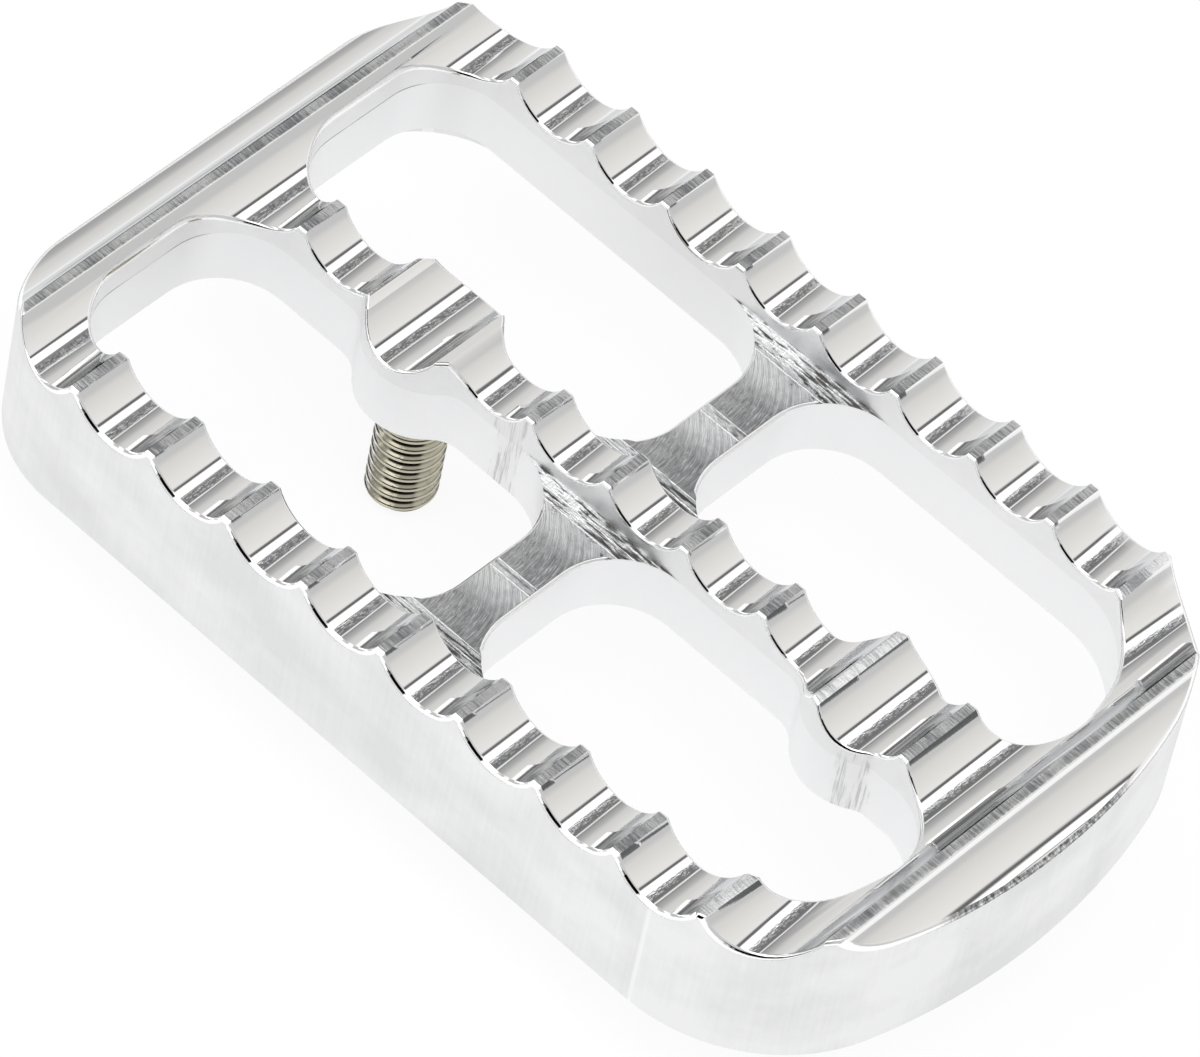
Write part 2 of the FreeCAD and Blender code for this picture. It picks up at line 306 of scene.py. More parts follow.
@dataclass(frozen=True)
class ScallopFinish(Finish):
    """Grooves straight off the cutter: nearly mirrors, with chatter where the cutter ran lowest, its
    tint partly painted reflection, and painted shade on their steep sides.
    """

    material_name: ClassVar[str] = "milled_scallops"
    colour: Colour = (0.93, 0.93, 0.925, 1.0)
    chatter_and_reflection_colour: Colour = (0.66, 0.70, 0.76, 1.0)
    steep_shade_colour: Colour = (0.60, 0.61, 0.62, 1.0)
    roughness: float = 0.06
    torn: float = 0.18
    chatter: float = 0.0008
    speckle: float = 0.011
    streak: float = 0.0004
    lowest: Band = (0.0, 0.13, 0.03)
    steep: Step = (-0.50, -0.62)

    def lay(self, graph: Graph) -> None:
        """Lay ticks and torn specks along each groove's lowest line, and fine streaks along all of it.

        Args:
            graph: The material's empty graph.
        """
        x, y, _ = graph.place()
        tilt, _, _ = graph.facing()
        lowest = tilt.within(*self.lowest)
        ticks = graph.noise((x * 0.3, y * 4.5, 0.0), 1.0)
        grain = graph.noise((x * 4.5, y * 1.6, 5.0), 2.0, 0.6)
        streaks = graph.noise((x * 7.0, y * 0.08, 9.0), 2.0)
        height = ticks * self.chatter + grain * (lowest * self.speckle) + streaks * self.streak
        # Chatter ticks along each groove's lowest line: real marks, with a darker tint that is partly
        # painted reflection
        tint = graph.colour(self.colour, self.chatter_and_reflection_colour, ticks.rise(0.05, 0.4) * lowest)
        # Painted shade on the groove sides that face steeply towards -X
        tint = graph.colour(tint, self.steep_shade_colour, tilt.rise(*self.steep))
        roughness = lowest * grain.rise(-0.15, 0.25) * self.torn + self.roughness
        graph.surface(height, Base_Color=tint, Roughness=roughness)


@dataclass(frozen=True)
class LandFinish(Finish):
    """The narrow flats between the grooves, ticked across in lighter and darker stretches."""

    material_name: ClassVar[str] = "milled_lands"
    colour: Colour = (0.90, 0.90, 0.90, 1.0)
    dull_colour: Colour = (0.38, 0.39, 0.40, 1.0)
    dullness: float = 0.38
    roughness: float = 0.25
    tick: float = 0.010
    grain: float = 0.004

    def lay(self, graph: Graph) -> None:
        """Lay the cutter's ticks, the stretches and a fine grain.

        Args:
            graph: The material's empty graph.
        """
        x, y, _ = graph.place()
        ticks = graph.noise((x * 0.4, y * 4.2, 0.0), 2.0, 0.7)
        stretch = graph.noise((x * 0.15, y * 0.30, 3.0), 1.0)
        grain = graph.noise((x * 4.0, y * 4.0, 7.0), 2.0, 0.6)
        tint = graph.colour(self.colour, self.dull_colour, ticks * 1.5 + stretch * 1.4 + self.dullness)
        graph.surface(ticks * self.tick + grain * self.grain, Base_Color=tint, Roughness=self.roughness)


@dataclass(frozen=True)
class PocketFinish(Finish):
    """Floors swept by an end mill in even passes of arcs, with torn metal at the bridge's walls."""

    material_name: ClassVar[str] = "milled_floors"
    colour: Colour = (0.88, 0.885, 0.89, 1.0)
    dull_colour: Colour = (0.50, 0.52, 0.53, 1.0)
    torn_colour: Colour = (0.09, 0.085, 0.08, 1.0)
    burr_and_stand_reflection_colour: Colour = (1.0, 1.0, 1.0, 1.0)
    roughness: float = 0.17
    cutter_radius: float = 9.0
    first_pass: float = -20.5
    pass_width: float = 8.4
    witness: float = 7.9
    half_witness: float = 0.5
    burr_width: Step = (0.10, 0.03)
    burr_height: float = 0.03
    arc_depth: float = 0.03
    torn_depth: float = 0.11
    dome_start: float = 3.0
    dome_fall: float = -0.016
    torn_side: tuple[float, float] = (4.6, 20.9)
    torn_reach: float = 26.0
    torn_softness: float = 0.12
    torn_slope: float = 0.22
    patch_lead: Step = (0.5, 0.3)
    bridge_only: Step = (4.0, 5.0)
    right_side: Step = (20.5, 24.6)

    def lay(self, graph: Graph) -> None:
        """Lay the passes, the witness strips between them and the torn metal.

        Args:
            graph: The material's empty graph.
        """
        x, y, z = graph.place()
        wobble = graph.noise((x * 0.9, y * 0.9, 1.0), 3.0, 0.6)
        on_bridge = z.rise(*self.bridge_only)
        right = x.rise(*self.right_side) * on_bridge

        # Each turn of the cutter leaves an arc that bulges the way it travelled, on a gently domed pass
        across = ((y - self.first_pass) / self.pass_width).fraction() * self.pass_width
        sweep = x - (self.cutter_radius ** 2 - across * across).root()
        arcs = graph.noise((sweep * 2.8, across * 0.16, wobble * 0.15), 3.0, 0.65)
        dome = (across - self.dome_start).at_least(0.0) ** 2.0 * self.dome_fall

        # Torn strips climb to the rails and the spine, and patches lie next to the witness strips
        near, far = self.torn_side
        side = abs(y) + wobble * 0.5
        at_rails = side.within(far, self.torn_reach, self.torn_softness)
        at_spine = side.within(0.0, near, self.torn_softness)
        up_walls = (side - far).at_least(0.0) + (near - side).at_least(0.0)
        climb = up_walls * (on_bridge * self.torn_slope)
        start, end = (self.witness - lead for lead in self.patch_lead)
        patch = (across + wobble * 3.0).rise(start, end) * on_bridge
        torn = ((at_rails + at_spine) * on_bridge + patch * 0.5).at_most(1.0)
        rips = graph.noise((x * 0.40, y * 3.0, 2.0), 4.0, 0.6)

        # Two burrs edge each witness strip
        from_witness = abs(across - self.witness + wobble * 0.15)
        burr_and_stand_reflection = abs(from_witness - self.half_witness).rise(*self.burr_width)

        height = arcs * ((1 - torn) * self.arc_depth) + rips * (torn * self.torn_depth)
        height = height + burr_and_stand_reflection * self.burr_height + dome + climb
        tint = graph.colour(self.colour, self.dull_colour, arcs * 1.2 + wobble * 0.8 + right * 0.6)
        dark = rips.rise(0.06, 0.20) + right * rips.rise(-0.12, 0.05) * 0.8
        tint = graph.colour(tint, self.torn_colour, torn * dark)
        tint = graph.colour(tint, self.burr_and_stand_reflection_colour, burr_and_stand_reflection)
        graph.surface(height, Base_Color=tint, Roughness=self.roughness)


@dataclass(frozen=True)
class WindowWallFinish(Finish):
    """Window walls: smooth and white below the ledge that the second cut left, duller above it."""

    material_name: ClassVar[str] = "window_walls"
    colour: Colour = (0.975, 0.977, 0.985, 1.0)
    upper_colour: Colour = (0.90, 0.90, 0.905, 1.0)
    line_colour: Colour = (0.30, 0.30, 0.31, 1.0)
    roughness: float = 0.50
    ledge: float = 5.92
    ledge_step: Step = (-0.02, 0.06)
    ledge_shade_width: Step = (0.09, 0.03)
    faces_end: Step = (0.85, 0.95)
    square_end: Step = (0.0, -5.0)
    turns: tuple[float, float] = (11.7, 53.3)
    turn_width: Step = (1.7, 0.9)
    turn_side: Step = (12.0, 11.0)

    def lay(self, graph: Graph) -> None:
        """Lay a soft peel and fine upright lines, with the ledge and the rough places on them.

        Args:
            graph: The material's empty graph.
        """
        x, y, z = graph.place()
        along, _, _ = graph.facing()
        peel = graph.noise((x * 0.5, y * 0.5, z * 0.5), 3.0, 0.5)
        upright = graph.noise((x * 3.0, y * 3.0, z * 0.15), 3.0, 0.65)

        # The ledge's step, and the painted shade under it, are plain on the wall at the square end and
        # faint on the others
        start, end = (self.ledge + step for step in self.ledge_step)
        above = z.rise(start, end)
        faded = graph.noise((x * 0.2, y * 0.2, 4.0), 1.0).rise(-0.35, 0.15)
        end_wall = along.rise(*self.faces_end) * x.rise(*self.square_end)
        line = abs(z - self.ledge).rise(*self.ledge_shade_width) * (0.06 + end_wall * (0.35 + faded * 0.55))

        # Rough metal on the spine's side beyond each boss, where the cutter turned
        first, second = (abs(x - turn + peel * 1.5).rise(*self.turn_width) for turn in self.turns)
        rough = first.at_least(second) * abs(y).rise(*self.turn_side)

        height = peel * 0.010 + upright * (0.0015 + rough * 0.012) + above * (0.008 + end_wall * 0.05)
        tint = graph.colour(self.colour, self.upper_colour, above * (0.7 + peel * 0.4) + rough * 0.5)
        # Painted shade along the ledge, and grey strokes in the rough places
        tint = graph.colour(tint, self.line_colour, line + rough * upright.rise(0.0, 0.25) * 0.40)
        graph.surface(height, Base_Color=tint, Roughness=self.roughness)


@dataclass(frozen=True)
class RimFinish(Finish):
    """Broken edges: narrow and bright, with a painted reflection of the dark camera stand where each
    groove comes down from its ridge.
    """

    material_name: ClassVar[str] = "broken_edges"
    colour: Colour = (1.0, 1.0, 1.0, 1.0)
    burr_and_stand_reflection_colour: Colour = (0.015, 0.015, 0.015, 1.0)
    comb_reflection_colour: Colour = (0.14, 0.15, 0.155, 1.0)
    roughness: float = 0.14
    comb: float = 0.0015
    torn: float = 0.008
    stand_reflection_tilt: Band = (14.0, 40.0, 2.0)
    stand_reflection_turn: Band = (-0.95, -0.40, 0.05)
    bow_centre: float = 8.553
    bow_rim: Step = (BOW_RADIUS - 0.9, BOW_RADIUS - 0.7)
    comb_reach: Band = (-11.5, 9.5, 1.5)

    def lay(self, graph: Graph) -> None:
        """Lay the painted reflection of the dark stand on the edges that face one way, and the painted
        dark comb on the bow's edge.

        Args:
            graph: The material's empty graph.
        """
        x, y, z = graph.place()
        ticks = graph.noise((x * 3.2, y * 3.2, z * 0.3), 2.0, 0.6)
        along, across, up = graph.facing()
        tilt = along.angle_from(up) * IN_DEGREES
        # Painted reflection of the dark camera stand: a black band on the edges that tilt and face this
        # way
        burr_and_stand_reflection = tilt.within(*self.stand_reflection_tilt) * across.within(*self.stand_reflection_turn)
        tint = graph.colour(self.colour, self.burr_and_stand_reflection_colour, burr_and_stand_reflection)

        # The bow's edge is left as the cutter tore it, with a painted dark reflection in a comb where
        # the last groove ends
        from_centre = x - self.bow_centre
        bow = (from_centre * from_centre + y * y).root().rise(*self.bow_rim)
        bow = bow * y.within(*self.comb_reach)
        tint = graph.colour(tint, self.comb_reflection_colour, bow * (0.70 + ticks * 1.0))
        graph.surface(ticks * (bow * self.torn + self.comb), Base_Color=tint, Roughness=self.roughness)


@dataclass(frozen=True)
class OuterWallFinish(Finish):
    """Tumbled satin on the outside: soft clouds, faint upright lines and a few nicks."""

    material_name: ClassVar[str] = "tumbled_walls"
    colour: Colour = (0.88, 0.882, 0.887, 1.0)
    cloud_colour: Colour = (0.77, 0.772, 0.777, 1.0)
    nick_colour: Colour = (0.45, 0.45, 0.46, 1.0)
    line_colour: Colour = (0.98, 0.98, 0.98, 1.0)
    roughness: float = 0.38
    nick: Step = (0.40, 0.50)
    witness_x: float = 53.0
    witness_width: Step = (0.30, 0.10)
    witness_step: Step = (-0.1, 0.2)
    corner_starts: Step = (61.0, 57.5)
    bright_bow: Band = (10.5, 18.5, 2.5)
    bow_starts: Step = (60.0, 64.0)

    def lay(self, graph: Graph) -> None:
        """Lay the clouds, the upright lines, the nicks and two brighter cuts.

        Args:
            graph: The material's empty graph.
        """
        x, y, z = graph.place()
        clouds = graph.noise((x * 0.09, y * 0.09, z * 0.16), 4.0, 0.55)
        upright = graph.noise((x * 2.6, y * 2.6, z * 0.12), 3.0, 0.6)
        nicks = graph.noise((x * 0.9, y * 0.9, z * 0.9), 5.0, 0.75)
        nicked = nicks.rise(*self.nick)

        # One brighter cut starts at a line before each corner, and another lies beside the bow's middle
        witness = abs(x - self.witness_x).rise(*self.witness_width)
        start, end = (self.witness_x + step for step in self.witness_step)
        past_line = x.rise(start, end) * x.rise(*self.corner_starts)
        beside_middle = abs(y).within(*self.bright_bow) * x.rise(*self.bow_starts)
        cloudy = clouds * 1.5 + upright * 0.40 + 0.50 - (past_line + beside_middle) * 0.50
        tint = graph.colour(self.colour, self.cloud_colour, cloudy)
        tint = graph.colour(tint, self.line_colour, witness * 0.6)
        tint = graph.colour(tint, self.nick_colour, nicked * 0.6)
        height = clouds * 0.02 + upright * 0.0015 + nicks * 0.004 - nicked * 0.02
        graph.surface(height, Base_Color=tint, Roughness=self.roughness)


@dataclass(frozen=True)
class TappedFinish(Finish):
    """The coarse thread in the second boss's hole."""

    material_name: ClassVar[str] = "tapped_thread"
    colour: Colour = (0.86, 0.86, 0.86, 1.0)
    root_shade_colour: Colour = (0.25, 0.25, 0.25, 1.0)
    roughness: float = 0.30
    depth: float = 0.55

    def lay(self, graph: Graph) -> None:
        """Lay the thread's flanks as a helix round the hole's axis.

        Args:
            graph: The material's empty graph.
        """
        x, y, z = graph.place()
        around = y.angle_from(x - SECOND_BOSS_X) / (2 * math.pi)
        flank = abs((z / THREAD_PITCH - around).fraction() - 0.5) * 2
        grain = graph.noise((x * 3.0, y * 3.0, z * 9.0), 2.0)
        # Painted shade darkens the thread's roots
        tint = graph.colour(self.colour, self.root_shade_colour, flank.rise(0.25, 0.0))
        graph.surface(flank * self.depth + grain * 0.004, Base_Color=tint, Roughness=self.roughness)


@dataclass(frozen=True)
class PlatedSteel(Finish):
    """Nickel plated thread, khaki where the plating is thin."""

    material_name: ClassVar[str] = "plated_steel"
    crest: Colour = (0.56, 0.53, 0.43, 1.0)
    flank: Colour = (0.52, 0.49, 0.37, 1.0)
    # The groove colour is painted shade
    groove: Colour = (0.02, 0.017, 0.012, 1.0)
    glint_colour: Colour = (1.0, 0.99, 0.93, 1.0)
    roughness: float = 0.14
    lit_side: Band = (math.radians(-88), math.radians(-26), 0.10)
    glint_side: Band = (math.radians(-134), math.radians(-112), 0.06)
    root_shade_line: Step = (0.56, 0.42)
    crest_shade_line: Band = (0.80, 0.93, 0.03)
    not_flat_tip: Step = (-0.97, -0.85)

    def lay(self, graph: Graph) -> None:
        """Lay the plating, the glints on the lit side and painted shade lines in the grooves.

        Args:
            graph: The material's empty graph.
        """
        x, y, z = graph.place()
        _, _, up = graph.facing()
        radius = (x * x + y * y).root()
        height = (radius - THREAD_ROOT_RADIUS) / (THREAD_RADIUS - THREAD_ROOT_RADIUS)
        mottle = graph.noise((x * 1.2, y * 1.2, z * 1.2), 3.0, 0.6)
        drawn = graph.noise((x.angle_from(y) * 3.0, z * 14.0, 0.0), 2.0, 0.6)
        tint = graph.colour(self.flank, self.crest, (height + mottle * 0.7).rise(0.3, 0.9))
        around = y.angle_from(x)
        glint = around.within(*self.glint_side)
        tint = graph.colour(tint, self.glint_colour, glint * height.rise(0.45, 0.70))
        # Painted shade in each groove's root and just below each crest, strongest on the lit side and in
        # the glint strip
        groove_shade_strength = 0.35 + (around.within(*self.lit_side) + glint) * 0.65
        lines = height.rise(*self.root_shade_line) + height.within(*self.crest_shade_line)
        tint = graph.colour(tint, self.groove, lines * groove_shade_strength * up.rise(*self.not_flat_tip))
        roughness = self.roughness + mottle * 0.08
        graph.surface(drawn * 0.003 + mottle * 0.010, Base_Color=tint, Roughness=roughness)


class Region(Enum):
    """The plate's kinds of surface, in the order of its material slots."""

    SCALLOP = 0
    LAND = 1
    POCKET = 2
    WINDOW_WALL = 3
    OUTER_WALL = 4
    TAPPED = 5
    RIM = 6


class Modelling:
    """Steps that both pieces use."""

    @staticmethod
    def only(piece: bpy.types.Object) -> None:
        """Select one object and make it active.

        Args:
            piece: The object.
        """
        bpy.ops.object.select_all(action="DESELECT")
        piece.select_set(True)
        bpy.context.view_layer.objects.active = piece

    @staticmethod
    def apply(piece: bpy.types.Object, kind: str, **settings: Any) -> None:
        """Add a modifier, set it and apply it.

        Args:
            piece: The object that it shapes.
            kind: The modifier's type name.
            settings: Its properties.
        """
        Modelling.only(piece)
        modifier = piece.modifiers.new(kind.title(), kind)
        for name, value in settings.items():
            setattr(modifier, name, value)
        bpy.ops.object.modifier_apply(modifier=modifier.name)

    @staticmethod
    def dress(piece: bpy.types.Object, *materials: bpy.types.Material) -> None:
        """Give a piece its materials, in place of any it had.

        Args:
            piece: The object.
            materials: The materials, in the order of the slots.
        """
        piece.data.materials.clear()
        for material in materials:
            piece.data.materials.append(material)

    @staticmethod
    def lean(face: bmesh.types.BMFace | bpy.types.MeshPolygon) -> float:
        """How far a face is from upright, from 0 to 1."""
        return abs(face.normal.z)


@dataclass
class PedalCover:
    """The tread plate, with the fine edge break round its windows."""

    node: str = "pedal_cover"
    edge_break: float = 0.30 * MM
    outer_break: float = 0.45 * MM
    merge_distance: float = 0.002 * MM
    coplanar: float = math.radians(0.1)
    crease: float = math.radians(25)
    wall_lean: float = 0.2
    rim_weight: int = 50
    bridge_floor: float = 6.05 * MM
    bridge_edge: tuple[float, float] = (4.9 * MM, 20.6 * MM)
    land_depth: float = 0.15 * MM
    rim: float = 5.0 * MM
    bow_radius: float = BOW_RADIUS * MM
    hole_x: float = SECOND_BOSS_X * MM
    hole_reach: float = 3.0 * MM
    hole_depth: float = 6.5 * MM

    # Measured in edge breaks
    sliver_width: float = 1.2
    probe_height: float = 10.0
    probe_reach: float = 2.0

    finishes: dict[Region, Finish] = field(default_factory=lambda: {
        Region.SCALLOP: ScallopFinish(),
        Region.LAND: LandFinish(),
        Region.POCKET: PocketFinish(),
        Region.WINDOW_WALL: WindowWallFinish(),
        Region.OUTER_WALL: OuterWallFinish(),
        Region.TAPPED: TappedFinish(),
        Region.RIM: RimFinish(),
    })

    def build(self, source: bpy.types.Object) -> bpy.types.Object:
        """Copy the plate's mesh, join its triangles and break the windows' upper edges.

        Args:
            source: The plate as the frame has it.

        Returns:
            The finished plate.
        """
        plate = source.copy()
        plate.data = source.data.copy()
        plate.name = "tread_plate"
        plate.parent = None
        bpy.context.scene.collection.objects.link(plate)
        for key in list(plate.keys()):
            del plate[key]
        Modelling.dress(plate, *(self.finishes[region].make() for region in Region))
        Modelling.only(plate)
        bpy.ops.mesh.customdata_custom_splitnormals_clear()
        bpy.ops.object.mode_set(mode="EDIT")
        bpy.ops.mesh.select_all(action="SELECT")
        bpy.ops.mesh.remove_doubles(threshold=self.merge_distance)
        bpy.ops.mesh.dissolve_limited(angle_limit=self.coplanar)
        bpy.ops.object.mode_set(mode="OBJECT")
        broken = self._break_window_edges(plate.data)
        Modelling.only(plate)
        bpy.ops.object.shade_smooth_by_angle(angle=self.crease)
        self._sort_faces(plate.data)
        self._round_rims(plate)
        log.info("tread plate: %d window edges broken, %d faces", broken, len(plate.data.polygons))
        return plate

    def _sort_faces(self, mesh: bpy.types.Mesh) -> None:
        """Give every face the material slot of its kind of surface.

        Args:
            mesh: The plate, with its window edges broken.
        """
        low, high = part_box(self.node)
        for face in mesh.polygons:
            if face.material_index != Region.RIM.value:
                face.material_index = self._region(face, low, high).value

    def _round_rims(self, plate: bpy.types.Object) -> None:
        """Shade the broken edges as if they were rounded, from the wall's normals to the tread's.

        Args:
            plate: The plate, whose faces have their material slots.
        """
        mesh = plate.data
        rims: dict[tuple[int, int], int] = {}
        meeting: dict[int, set[bool]] = {}
        for face in mesh.polygons:
            if face.material_index == Region.RIM.value:
                for key in face.edge_keys:
                    rims[key] = rims.get(key, 0) + 1
            else:
                for vertex in face.vertices:
                    meeting.setdefault(vertex, set()).add(Modelling.lean(face) < NEAR_UPRIGHT)

        # A rim's long sides alone, and not where a row of rims runs out between the wall and the tread
        for edge in mesh.edges:
            runs_out = any(len(meeting.get(vertex, set())) > 1 for vertex in edge.vertices)
            if rims.get(tuple(sorted(edge.vertices))) == 1 and not runs_out:
                edge.use_edge_sharp = False
        Modelling.apply(
            plate, "WEIGHTED_NORMAL", mode="FACE_AREA", weight=self.rim_weight, keep_sharp=True,
        )

    def _break_window_edges(self, mesh: bpy.types.Mesh) -> int:
        """Cut a narrow sloping face along each window's upper edge.

        The tread side of the edge moves back over the tread and the wall side moves straight down. The
        bevel operator slides points along the grooves instead, which throws spikes where a wall runs
        beside a groove.

        Args:
            mesh: The merged plate.

        Returns:
            How many edges are broken.
        """
        shape = bmesh.new()
        shape.from_mesh(mesh)
        tread = BVHTree.FromBMesh(shape)
        names = shape.verts.layers.int.new("window_edge")
        low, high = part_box(self.node)
        chosen = [edge for edge in shape.edges if self._is_window_edge(edge, low, high)]
        self._join_slivers(shape, chosen)
        back = self._name_points(chosen, names)
        bmesh.ops.split_edges(shape, edges=chosen)

        # The two copies of each point, and the tread's side of each edge in the order its face has it
        wall_side: dict[int, bmesh.types.BMVert] = {}
        tread_side: dict[int, bmesh.types.BMVert] = {}
        for vertex in shape.verts:
            if vertex[names]:
                upright = all(Modelling.lean(face) < NEAR_UPRIGHT for face in vertex.link_faces)
                (wall_side if upright else tread_side)[vertex[names]] = vertex
        pairs = []
        for edge in shape.edges:
            if edge.is_boundary and edge.link_faces[0].normal.z > NEAR_UPRIGHT:
                loop = edge.link_loops[0]
                pairs.append((loop.vert[names], loop.link_loop_next.vert[names]))
        tops = {face: face.normal.copy() for vertex in tread_side.values() for face in vertex.link_faces}

        # Both sides move, and a face closes the gap along each edge
        for name, vertex in tread_side.items():
            if name in wall_side:
                wall_side[name].co.z -= self.edge_break
                vertex.co = self._moved_back(vertex.co, back[name], tread)
        for start, end in pairs:
            corners = [tread_side[end], tread_side[start], wall_side.get(start), wall_side.get(end)]
            corners = [corner for corner in corners if corner is not None]
            if len(corners) > 2:
                shape.faces.new(corners).material_index = Region.RIM.value
        self._join_turned(shape, tops)
        shape.to_mesh(mesh)
        shape.free()
        return len(pairs)

    def _name_points(self, chosen: list[bmesh.types.BMEdge], names: Any) -> dict[int, Vector]:
        """Number the points of the edges, so that both copies of a point can be told later.

        Args:
            chosen: The edges that are about to be broken.
            names: The layer that holds the numbers.

        Returns:
            For each number the way from the window over the tread, by the lengths of its edges.
        """
        back: dict[int, Vector] = {}
        for edge in chosen:
            wall = min(edge.link_faces, key=Modelling.lean)
            for vertex in edge.verts:
                name = vertex.index + 1
                vertex[names] = name
                back[name] = back.get(name, Vector()) - wall.normal * edge.calc_length()
        return back

    def _moved_back(self, point: Vector, away: Vector, tread: BVHTree) -> Vector:
        """Move a point back over the tread, and onto it where the tread is near.

        Args:
            point: The point on the old edge.
            away: The way from the window.
            tread: The plate before its edges were broken.

        Returns:
            Where the point goes.
        """
        moved = point + Vector((away.x, away.y, 0)).normalized() * self.edge_break
        above = moved + Vector((0, 0, self.edge_break * self.probe_height))
        hit, _, _, _ = tread.ray_cast(above, Vector((0, 0, -1)))
        if hit is not None and abs(hit.z - point.z) < self.edge_break * self.probe_reach:
            return hit
        return moved

    def _join_turned(self, shape: bmesh.types.BMesh, tops: dict[bmesh.types.BMFace, Vector]) -> None:
        """Join each face that a point moved right across, and so turned over, to the one behind it.

        Args:
            shape: The plate, which is changed.
            tops: The faces of the tread next to the windows, with their normals before the move.
        """
        behind = []
        for face, normal in tops.items():
            face.normal_update()
            if face.normal.dot(normal) < 0:
                behind.append(max(face.edges, key=bmesh.types.BMEdge.calc_length))
        bmesh.ops.dissolve_edges(shape, edges=behind, use_verts=False)

    def _join_slivers(self, shape: bmesh.types.BMesh, chosen: list[bmesh.types.BMEdge]) -> None:
        """Join each tread face that is narrower than the edge break to the face behind it.

        Args:
            shape: The plate, which is changed.
            chosen: The edges that are about to be broken.
        """
        kept = set(chosen)
        joined: list[bmesh.types.BMEdge] = []
        for edge in chosen:
            wall, top = sorted(edge.link_faces, key=Modelling.lean)
            width = max((edge.verts[0].co - vertex.co).dot(wall.normal) for vertex in top.verts)
            if width < self.edge_break * self.sliver_width:
                others = (side for side in top.edges if side not in kept)
                longest = max(others, key=bmesh.types.BMEdge.calc_length)
                if longest not in joined:
                    joined.append(longest)
        bmesh.ops.dissolve_edges(shape, edges=joined, use_verts=False)
        shape.verts.index_update()

    def _is_window_edge(self, edge: bmesh.types.BMEdge, low: Vector, high: Vector) -> bool:
        """Whether an edge is where the tread, or the bridge, meets an upright window wall from above.

        Args:
            edge: An edge of the plate.
            low: The plate's lowest corner.
            high: The plate's highest corner.

        Returns:
            Whether it is one.
        """
        if len(edge.link_faces) != 2 or not edge.is_convex:
            return False
        wall, top = sorted(edge.link_faces, key=Modelling.lean)
        if Modelling.lean(wall) > NEAR_UPRIGHT or top.normal.z < NEAR_UPRIGHT:
            return False
        ends = [vertex.co for vertex in edge.verts]
        return all(self._inside(end, low, high) and self._breakable(end) for end in ends)

    def _breakable(self, point: Vector) -> bool:
        """Whether an edge may be broken here: on the tread, or along the open sides of the bridge.

        Args:
            point: An end of the edge.

        Returns:
            Whether it may.
        """
        near, far = self.bridge_edge
        above = point.z - self.bridge_floor
        on_bridge = abs(above) < self.merge_distance and near < abs(point.y) < far
        return above > self.merge_distance or on_bridge

    def _reach(self, point: Vector, high: Vector) -> float:
        """How far a point is from the bow's centre, seen from above."""
        return math.hypot(point.x - (high.x - self.bow_radius), point.y)

    def _inside(self, point: Vector, low: Vector, high: Vector) -> bool:
        """Whether a point lies inside the plate's rim.

        Args:
            point: A point of the plate.
            low: The plate's lowest corner.
            high: The plate's highest corner.

        Returns:
            Whether it does.
        """
        inside_rails = abs(point.y) < high.y - self.rim
        inside_bow = self._reach(point, high) < self.bow_radius - self.rim
        return inside_rails and point.x > low.x + self.rim and inside_bow

    def _region(self, face: bpy.types.MeshPolygon, low: Vector, high: Vector) -> Region:
        """Tell what kind of surface a face belongs to.

        Args:
            face: A face of the finished plate.
            low: The plate's lowest corner.
            high: The plate's highest corner.

        Returns:
            The kind of surface.
        """
        up = face.normal.z
        to_hole = math.hypot(face.center.x - self.hole_x, face.center.y)
        if to_hole < self.hole_reach and face.center.z < self.hole_depth:
            return Region.TAPPED
        if up > 1 - NEAR_UPRIGHT and face.center.z > high.z - self.land_depth:
            return Region.LAND
        if abs(up) > 1 - NEAR_UPRIGHT and face.center.z < self.bridge_floor + self.merge_distance:
            return Region.POCKET
        if abs(up) < self.wall_lean:
            return Region.WINDOW_WALL if self._inside(face.center, low, high) else Region.OUTER_WALL
        if up < 0:
            return Region.POCKET
        at_bow = self._reach(face.center, high) > self.bow_radius - self.outer_break
        at_end = at_bow or face.center.x < low.x + self.outer_break
        return Region.RIM if abs(face.normal.y) > NEAR_UPRIGHT or at_end else Region.SCALLOP

    def place(self, plate: bpy.types.Object) -> None:
        """Give the plate its place on the body.

        Args:
            plate: The finished plate.
        """
        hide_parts(self.node)
        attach(plate, "root")


